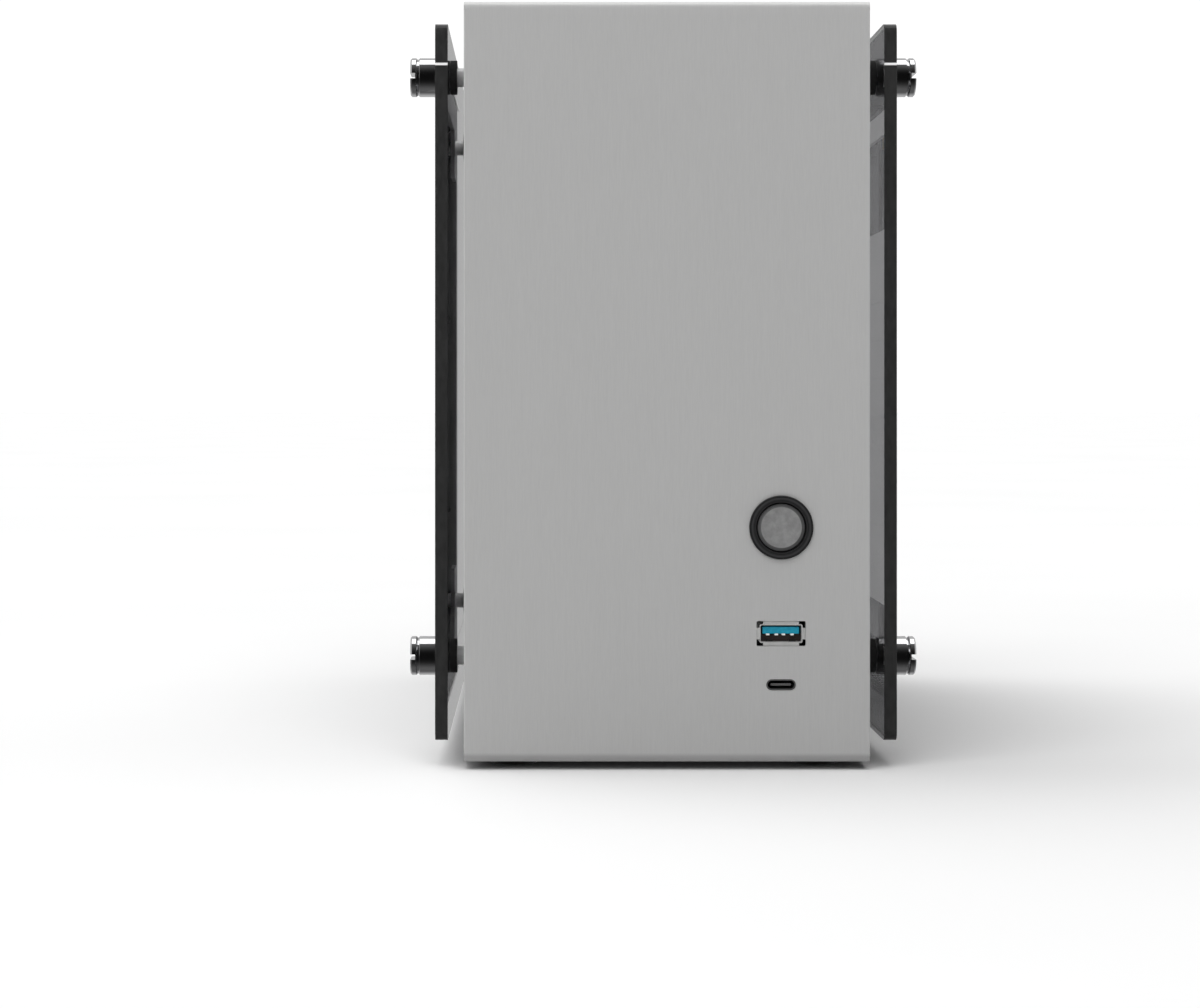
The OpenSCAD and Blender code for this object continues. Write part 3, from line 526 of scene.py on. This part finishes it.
def edge_the_glass():
    """The narrow faces round each glass side are ground, not polished."""
    ground = glass_edge()
    for name in ("left_glass", "right_glass"):
        mesh = nodes[name].data
        mesh.materials.append(ground)
        for face in mesh.polygons:
            from_end = GLASS_HIGH.y - abs(face.center.y)
            from_rim = min(face.center.z - GLASS_LOW.z, GLASS_HIGH.z - face.center.z)
            on_rim = abs(face.normal.x) < 0.5 and min(from_end, from_rim) < 6 * MM
            face.material_index = 1 if on_rim else 0


def soften_edges():
    """The glass has a small ground bevel all round."""
    for name in ("left_glass", "right_glass"):
        weld = nodes[name].modifiers.new("weld", "WELD")
        weld.merge_threshold = 0.00001
        add_bevel(nodes[name], 0.15)


# ---------------------------------------------------------------- fine detail


def add_box(bm, low, high):
    """Adds a box between two corners given in millimetres."""
    low, high = Vector(low) * MM, Vector(high) * MM
    size = Matrix.Diagonal((*(high - low), 1))
    bmesh.ops.create_cube(bm, size=1.0, matrix=Matrix.Translation((low + high) / 2) @ size)


def add_cylinder(bm, centre, direction, radius, length, segments=24):
    """Adds a cylinder that starts at centre and runs along direction, in millimetres."""
    turn = Vector(direction).to_track_quat("Z", "Y").to_matrix().to_4x4()
    middle = Vector(centre) + Vector(direction).normalized() * length / 2
    bmesh.ops.create_cone(bm, cap_ends=True, segments=segments, radius1=radius * MM, radius2=radius * MM,
                          depth=length * MM, matrix=Matrix.Translation(middle * MM) @ turn)


def add_piece(name, bm, material, bevel=0.0, body="chassis"):
    """Turns a bmesh into a piece of the object, its edges rounded by bevel millimetres."""
    mesh = bpy.data.meshes.new(name)
    bm.to_mesh(mesh)
    bm.free()
    mesh.materials.append(material)
    piece = bpy.data.objects.new(name, mesh)
    bpy.context.scene.collection.objects.link(piece)
    if bevel:
        add_bevel(piece, bevel)
    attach(piece, body)
    return piece


def larger_port_details():
    """Four contacts under the larger front port's tongue, and painted shade in its tabs and cavity."""
    low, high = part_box("usb_a_port")
    x, z = (low.x + high.x) / 2 / MM, (low.z + high.z) / 2 / MM
    y = FRONT_Y / MM
    contacts = bmesh.new()
    for k in (-4.1, -1.4, 0.8, 3.5):
        add_box(contacts, (x + k - 0.55, y + 0.9, z - 0.6), (x + k + 0.55, y + 9, z - 0.05))
    add_piece("larger_port_contacts", contacts, contact_plating_and_glint(), 0.12)
    # painted shade: two black boxes where the spring tabs' notches fall in shade
    spring_shades = bmesh.new()
    for k in (-3.6, 3.6):
        add_box(spring_shades, (x + k - 1.1, y + 1.6, z - 2.6), (x + k + 1.1, y + 6, z - 2.0))
    add_piece("larger_port_spring_shades", spring_shades, MATERIALS["black_plastic"], 0.15)
    # painted shade: a dark block filling the cavity under the tongue
    cavity_shade = bmesh.new()
    add_box(cavity_shade, (x - 6.3, y + 3.2, z - 2.55), (x + 6.3, y + 15, z - 0.3))
    brown = plastic("port_cavity_shade", (0.045, 0.032, 0.03), 0.5)
    add_piece("larger_port_cavity_shade", cavity_shade, brown, 0.1)


def smaller_port_details():
    """Eleven contacts, 0.5 mm apart, on both faces of the smaller front port's tongue."""
    low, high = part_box("usb_c_port")
    middle, z = (low.x + high.x) / 2 / MM, (low.z + high.z) / 2 / MM
    y = FRONT_Y / MM
    pins = bmesh.new()
    for k in range(-5, 6):
        x = middle + 0.5 * k
        add_box(pins, (x - 0.14, y + 1.6, z - 0.45), (x + 0.14, y + 6, z + 0.45))
    add_piece("smaller_port_contacts", pins, MATERIALS["nickel_plated"])


def smooth_route(points, steps):
    """A Catmull-Rom curve through points in millimetres, as vectors in metres."""
    p = [Vector(q) * MM for q in points]
    p = [2 * p[0] - p[1], *p, 2 * p[-1] - p[-2]]
    route = []
    for a, b, c, d in zip(p, p[1:], p[2:], p[3:]):
        for k in range(steps):
            t = k / steps
            route.append(0.5 * (2 * b + t * (c - a) + t * t * (2 * a - 5 * b + 4 * c - d)
                                + t ** 3 * (3 * b - a - 3 * c + d)))
    return route + [p[-2]]


def bundle(name, points, wires, wire, radius, node, twist=0.35):
    """Sleeved wires that twist slowly round a route. wire is a wire's radius and radius is their ring's."""
    data = bpy.data.curves.new(name, "CURVE")
    data.dimensions = "3D"
    data.bevel_depth = wire * MM
    data.bevel_resolution = 3
    data.use_fill_caps = True
    route = smooth_route(points, 8)
    for w in range(wires):
        up = Vector((0.31, 0.22, 0.92))
        spline = data.splines.new("POLY")
        spline.points.add(len(route) - 1)
        for k, place in enumerate(route):
            ahead = (route[min(k + 1, len(route) - 1)] - route[max(k - 1, 0)]).normalized()
            side = ahead.cross(up).normalized()
            over = ahead.cross(side)
            up = -over
            angle = 2 * math.pi * w / wires + twist * k
            offset = radius * MM * (side * math.cos(angle) + over * math.sin(angle))
            spline.points[k].co = (*(place + offset), 1)
    data.materials.append(MATERIALS["cable_sleeve"])
    piece = bpy.data.objects.new(name, data)
    bpy.context.scene.collection.objects.link(piece)
    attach(piece, "chassis")
    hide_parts(node)


def plug(bm, low, high):
    """A moulded plug with three finger ridges on the face towards -X."""
    add_box(bm, low, high)
    middle = [(a + b) / 2 for a, b in zip(low, high)]
    for k in (-1, 0, 1):
        add_box(bm, (low[0] - 0.3, middle[1] - 1.2 + 2.4 * k - 0.5, middle[2] - 3),
                (low[0] + 0.4, middle[1] - 1.2 + 2.4 * k + 0.5, middle[2] + 3))


# the internal wiring: route, number of wires, a wire's radius and the bundle's radius, all in millimetres
POWER_BUNDLES = {
    "mains_bundle": ([(-35, 133, 208), (-42, 116, 209), (-50, 80, 211), (-50, -60, 211), (-42, -115, 205),
                      (-14, -136, 192), (12, -138, 168)], 3, 1.5, 1.75),
    "board_power_bundle": ([(12, -18, 150), (9, -13, 149), (12, -10.5, 147), (20, -10.5, 146)], 7, 1.1, 3.3),
    "processor_power_bundle": ([(30, -18, 164), (16, -10, 182), (4, 0, 200), (7, 14, 209.5), (22, 25, 209.5)],
                               4, 1.2, 1.9),
    "graphics_power_bundle": ([(8, -18, 108), (-10, -16, 92), (-24, -24, 70), (-42, -44, 56), (-40, -37, 48)],
                              4, 1.2, 1.9),
}
SIGNAL_BUNDLES = {
    "front_ports_bundle": ([(35.7, -130.8, 27), (32, -122, 26), (24, -70, 24), (4, -40, 30), (-10, -33, 50),
                            (2, -22, 74), (24, -13, 92), (31, -13, 95)], 1, 2.6, 0.0),
    "button_bundle": ([(35.7, -133.4, 72.9), (35.7, -133.4, 66), (34, -132.6, 50), (28, -124, 34),
                       (20, -70, 31), (0, -38, 37), (-14, -31, 54), (0, -20, 64), (26, -14, 67),
                       (32, -14, 68)], 2, 0.65, 0.7),
}
# each plug's two corners
POWER_PLUGS = [((-45, 129, 201), (-25, 135.6, 215)), ((2, -143, 140), (26, -130, 168)),
               ((4, -30, 124), (20, -17, 172)), ((22, -30, 152), (38, -17, 171)),
               ((0, -30, 98), (16, -17, 118)), ((19, -14.5, 121), (33.9, -5.5, 171)),
               ((21, 17, 205.5), (33.9, 33, 213.5)), ((-49, -37.8, 43), (-31, -21.8, 53))]
SIGNAL_PLUGS = [((29.7, -135.3, 23), (41.7, -130.6, 31)), ((30.7, -135.6, 71.9), (40.7, -131, 78.9)),
                ((29.9, -14.5, 85), (36.9, -8.5, 105)), ((30.9, -14.5, 61), (37.9, -9.5, 75))]


def wiring():
    """Bundles of separate wires and ridged plugs, which stand for the CAD model's plain tubes."""
    for bundles, node in ((POWER_BUNDLES, "power_cables"), (SIGNAL_BUNDLES, "front_io_cables")):
        for name, (points, wires, wire, radius) in bundles.items():
            bundle(name, points, wires, wire, radius, node)
    for name, places in (("power_plugs", POWER_PLUGS), ("signal_plugs", SIGNAL_PLUGS)):
        bm = bmesh.new()
        for low, high in places:
            plug(bm, low, high)
        add_piece(name, bm, MATERIALS["black_plastic"], 0.4)


# the mainboard's open areas, as y from, y to, z from, z to, and its small chips, as y, z, width, height
OPEN_AREAS = [(50, 110, 96, 122), (112, 134, 78, 122), (-4, 0, 70, 205), (14, 34, 110, 200),
              (40, 110, 60, 68)]
SMALL_CHIPS = [(112, 108, 9, 9), (128, 108, 7, 7), (-8, 112, 6, 6), (58, 100, 14, 14),
               (82, 100, 8, 8), (120, 120, 5, 5), (-6, 212, 6, 4), (100, 62, 5, 7)]


def board_parts():
    """Chokes, capacitors and small chips on the mainboard's open areas. They stand towards -X."""
    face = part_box("motherboard")[0].x / MM
    chokes, cans, tops, chips, specks = (bmesh.new() for _ in range(5))
    for z in range(128, 200, 10):
        add_box(chokes, (face - 5, 113.5, z), (face, 120.5, z + 7.5))
    for y in range(40, 110, 10):
        add_box(chokes, (face - 5, y, 192), (face, y + 7.5, 199))
    beside_chokes = [(y, 186) for y in range(42, 110, 9)] + [(106, z) for z in range(128, 180, 9)]
    elsewhere = [(-10, 188), (118, 92), (126, 92), (134, 92), (118, 102)]
    for y, z in beside_chokes + elsewhere:
        add_cylinder(cans, (face, y, z), (-1, 0, 0), 2.6, 6.2)
        add_cylinder(tops, (face - 6.1, y, z), (-1, 0, 0), 2.2, 0.25)
    for y, z, width, height in SMALL_CHIPS:
        add_box(chips, (face - 1.2, y, z), (face, y + width, z + height))
    places = random.Random(7)
    for y_from, y_to, z_from, z_to in OPEN_AREAS:
        for _ in range(26):
            y = places.uniform(y_from, y_to)
            z = places.uniform(z_from, z_to)
            long = places.choice((0.8, 1.2, 1.6))
            add_box(specks, (face - 0.5, y, z), (face, y + long, z + long / 2))
    add_piece("chokes", chokes, plastic("choke_ferrite", (0.05, 0.05, 0.052), 0.5, 700), 0.5)
    add_piece("capacitor_cans", cans, MATERIALS["bare_aluminium"], 0.3)
    add_piece("capacitor_tops", tops, MATERIALS["chips"])
    add_piece("small_chips", chips, MATERIALS["chips"], 0.15)
    add_piece("passives", specks, plastic("ceramic", (0.20, 0.17, 0.13), 0.4))


def cross_screw(heads, cross_shades, place, side, radius):
    """A pan-head screw whose axis is X, facing side (1 or -1), with a black cross as painted shade."""
    place = Vector(place)
    add_cylinder(heads, place, (side, 0, 0), radius, 0.9)
    # painted shade: a flat black cross on the face, where the recessed cross would lie in shade
    face = place + Vector((0.9 * side, 0, 0))
    for y, z in ((0.55, 0.16), (0.16, 0.55)):
        half = Vector((0.05, y * radius, z * radius))
        add_box(cross_shades, face - half, face + half)


def box_in_mm(node):
    """A CAD node's two corners in millimetres."""
    return [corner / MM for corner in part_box(node)]


def power_supply_parts(heads, cross_shades, ribs):
    """Case screws and seams on the power supply, and screws and pressed ribs on its bracket."""
    low, high = box_in_mm("psu_housing")
    for y in (low.y + 7, high.y - 7):
        for z in (low.z + 7, high.z - 7):
            cross_screw(heads, cross_shades, (low.x, y, z), -1, 2.6)
    for y in (low.y + 3.2, high.y - 3.5):
        add_box(ribs, (low.x - 0.12, y, low.z + 2), (low.x, y + 0.3, high.z - 2))

    low, high = box_in_mm("psu_bracket")
    for y in (low.y + 16, high.y - 8):
        for z in (low.z + 10, low.z + 60, low.z + 116):
            cross_screw(heads, cross_shades, (high.x, y, z), 1, 2.4)
    for k in range(7):
        z = low.z + 24 + 13 * k
        add_box(ribs, (high.x, low.y + 30, z), (high.x + 0.6, high.y - 22, z + 2.2))


def tray_parts(heads, cross_shades, loops):
    """Bosses with screws at the mainboard tray's corners, and small loops for cable ties."""
    low, _ = box_in_mm("motherboard_tray")
    face = low.x + 1.2
    for y in (low.y + 6, low.y + 163):
        for z in (56, 212):
            add_cylinder(loops, (face, y, z), (1, 0, 0), 4.0, 0.8)
            cross_screw(heads, cross_shades, (face + 0.8, y, z), 1, 2.2)
    for y in (low.y + 24, low.y + 60, low.y + 96, low.y + 132):
        for z in (40, 172, 206):
            for leg in (0, 5):
                add_box(loops, (face, y + leg, z), (face + 1.6, y + leg + 1.6, z + 6))
            add_box(loops, (face + 1.2, y, z), (face + 2.0, y + 6.6, z + 6))


def sheet_parts():
    """Small parts on the large sheets inside the case."""
    heads, cross_shades, ribs, loops = (bmesh.new() for _ in range(4))
    power_supply_parts(heads, cross_shades, ribs)
    tray_parts(heads, cross_shades, loops)
    add_piece("sheet_screws", heads, MATERIALS["nickel_plated"], 0.2)
    # painted shade: the black cross on each screw head
    add_piece("sheet_screw_cross_shades", cross_shades, MATERIALS["black_plastic"])
    add_piece("sheet_ribs", ribs, MATERIALS["silver_sheet"], 0.08)
    add_piece("tray_loops", loops, MATERIALS["black_steel"], 0.2)


# the ports at the back of the mainboard: where each starts, how high it is, and how many tongues it holds
REAR_PORTS = [(0, 14, 2), (20, 14, 2), (40, 15, 1), (62, 16, 4), (84, 16, 4), (106, 16, 2)]
JACKS_UP = 133


def rear_port_parts():
    """Tongues and round jacks inside the ports at the back of the mainboard."""
    low, high = box_in_mm("rear_io_ports")
    face = box_in_mm("motherboard")[0].x
    tongues, jacks = bmesh.new(), bmesh.new()
    for start, height, count in REAR_PORTS:
        bottom = low.z + start + 2.4
        top = low.z + start + height - 2.4
        for k in range(count):
            x = face - 5.2 - 7.6 * k
            add_box(tongues, (x - 1.6, high.y - 10.4, bottom), (x, high.y - 2, top))
    for k in range(2):
        place = Vector((face - 6 - 7.5 * k, high.y - 10.4, low.z + JACKS_UP))
        add_cylinder(jacks, place, (0, 1, 0), 3.2, 10.2)
        add_cylinder(jacks, place + Vector((0, 10, 0)), (0, 1, 0), 1.75, 0.3)
    blue = plastic("rear_tongues", (0.01, 0.12, 0.2), 0.4)
    add_piece("rear_port_tongues", tongues, blue, 0.2)
    add_piece("audio_jacks", jacks, MATERIALS["black_plastic"], 0.15)


# ---------------------------------------------------------------- studio


def make_floor():
    """A wide, pale, matt floor."""
    mesh = bpy.data.meshes.new("floor")
    half = 30.0
    corners = [(-half, -half, 0), (half, -half, 0), (half, half, 0), (-half, half, 0)]
    mesh.from_pydata(corners, [], [(0, 1, 2, 3)])
    s = Shader("floor")
    mottle = s.noise(3, 3, 0.5)
    s.colour(s.ramp(mottle, (0.90, 0.90, 0.90), (0.92, 0.92, 0.92)))
    s.set(Roughness=0.9, Specular_IOR_Level=0.1)
    mesh.materials.append(s.material)
    floor = bpy.data.objects.new("floor", mesh)
    floor.visible_glossy = False
    bpy.context.scene.collection.objects.link(floor)


# the softbox over the case: its brightness, and the steepness from which it is seen
OVERHEAD_LIGHT = 1.36
OVERHEAD_FROM, OVERHEAD_TO = 0.72, 0.93
# the weak light of the room behind and in front
BACK_LIGHT = 0.12
FRONT_LIGHT = 0.03
# what mirrors show: black cloth in front that fades to dark grey, a white box above, grey paper behind
MIRROR_BLACK = 0.005
MIRROR_DARK = 0.10
MIRROR_WHITE = 1.7
MIRROR_GREY = 0.46


class World:
    """The studio's world, with short ways to add maths on the direction of a ray."""

    def __init__(self):
        world = bpy.data.worlds.new("studio")
        bpy.context.scene.world = world
        world.use_nodes = True
        self.tree = world.node_tree
        self.background = self.tree.nodes["Background"]
        self.background.inputs["Color"].default_value = (1, 1, 1, 1)
        split = self.tree.nodes.new("ShaderNodeSeparateXYZ")
        self.tree.links.new(self.tree.nodes.new("ShaderNodeTexCoord").outputs["Generated"], split.inputs[0])
        self.y = split.outputs["Y"]
        self.z = split.outputs["Z"]
        self.ray = self.tree.nodes.new("ShaderNodeLightPath").outputs

    def step(self, source, start, end):
        """Goes smoothly from 0 at start to 1 at end."""
        node = self.tree.nodes.new("ShaderNodeMapRange")
        node.interpolation_type = "SMOOTHSTEP"
        node.inputs["From Min"].default_value = start
        node.inputs["From Max"].default_value = end
        self.tree.links.new(source, node.inputs["Value"])
        return node.outputs["Result"]

    def maths(self, operation, a, b):
        node = self.tree.nodes.new("ShaderNodeMath")
        node.operation = operation
        for value, socket in zip((a, b), node.inputs):
            if isinstance(value, (int, float)):
                socket.default_value = value
            else:
                self.tree.links.new(value, socket)
        return node.outputs[0]

    def shade(self, low, high, mask):
        """Goes from low to high, each a number or a socket, as mask goes from 0 to 1."""
        rest = self.maths("SUBTRACT", 1.0, mask)
        return self.maths("ADD", self.maths("MULTIPLY", high, mask), self.maths("MULTIPLY", low, rest))


def make_world():
    """A white room lit from overhead, fitted to the photo's floor and not to real lamps.

    The camera sees plain white. Mirrors see a room of their own, with black cloth in front, which
    draws the chrome's bands.
    """
    w = World()
    room = w.shade(FRONT_LIGHT, BACK_LIGHT, w.step(w.y, -0.35, 0.25))
    light = w.shade(room, OVERHEAD_LIGHT, w.step(w.z, OVERHEAD_FROM, OVERHEAD_TO))
    box = w.shade(MIRROR_GREY, MIRROR_WHITE, w.step(w.z, 0.8, 0.92))
    front_above = w.shade(MIRROR_BLACK, MIRROR_DARK, w.step(w.y, -1.0, -0.2))
    above = w.shade(front_above, box, w.step(w.y, -0.24, -0.1))
    front_below = w.shade(MIRROR_BLACK, MIRROR_DARK, w.step(w.y, -1.0, -0.1))
    below = w.shade(front_below, MIRROR_GREY, w.step(w.y, 0.2, 0.9))
    mirrored = w.shade(below, above, w.step(w.z, -0.03, 0.03))
    strength = w.shade(light, mirrored, w.ray["Is Glossy Ray"])
    seen = w.maths("MAXIMUM", w.ray["Is Camera Ray"], w.ray["Is Transmission Ray"])
    w.tree.links.new(w.maths("MAXIMUM", strength, w.maths("MULTIPLY", seen, 1.05)),
                     w.background.inputs["Strength"])


def soft_light(name, energy, azimuth, elevation):
    """A very broad, distant light. Mirrors don't show it, so the chrome keeps its dark studio."""
    data = bpy.data.lights.new(name, "SUN")
    data.energy = energy
    data.angle = math.radians(70)
    light = bpy.data.objects.new(name, data)
    light.rotation_euler = (math.radians(90 - elevation), 0, math.radians(azimuth + 90))
    light.visible_glossy = False
    bpy.context.scene.collection.objects.link(light)


def make_lights():
    """A key from behind on the left throws the shadow to the right. A fill lights the front."""
    soft_light("key", 1.56, 135, 40)
    soft_light("fill", 1.6, 255, 40)


def set_view_transform():
    """Plain colours, so the white studio stays white."""
    bpy.context.scene.view_settings.view_transform = "Standard"


make_camera()
make_world()
make_lights()
set_view_transform()
make_floor()
dress_cad_nodes()
edge_the_glass()
soften_edges()
larger_port_details()
smaller_port_details()
wiring()
board_parts()
sheet_parts()
rear_port_parts()
